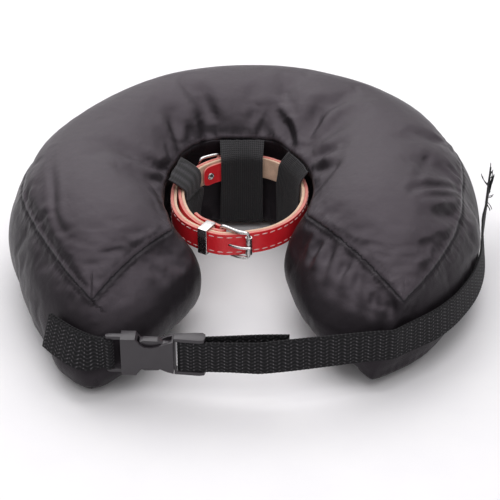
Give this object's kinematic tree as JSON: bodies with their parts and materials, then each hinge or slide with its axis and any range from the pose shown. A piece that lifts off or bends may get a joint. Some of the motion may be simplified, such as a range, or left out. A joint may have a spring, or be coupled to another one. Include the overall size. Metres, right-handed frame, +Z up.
{
  "type": "elizabethan collar",
  "caption": "Soft stuffed C-shaped recovery collar for a dog, with a leather dog collar threaded through its neck hole and a webbing strap with a side-release buckle across the front.",
  "frame": {"origin": "middle of the bounding box on the floor under the collar", "axes": "+X to the collar's right as seen from its open front, +Y from the open front to the back, +Z up from the surface it lies on"},
  "size_m": [0.3902, 0.3454, 0.1191],
  "materials": {
    "cloth": "soft sheen woven nylon",
    "elastic": "matt ribbed elastic",
    "webbing": "matt woven webbing",
    "plastic": "satin",
    "leather": "smooth satin",
    "lining": "matt",
    "steel": "polished"
  },
  "bodies": {
    "root": {"cushion": "cloth", "band_left": "elastic", "band_centre": "elastic", "band_right": "elastic", "collar_leather": "leather", "collar_lining": "lining", "buckle_frame": "steel", "buckle_roller": "steel", "buckle_prong": "steel", "collar_keeper": "steel", "flap_rivet": "steel", "leash_ring": "steel", "ring_tab": "leather", "tab_rivet": "steel", "strap_long": "webbing", "strap_short": "webbing", "clip_socket": "plastic", "clip_plug": "plastic"}
  },
  "joints": []
}
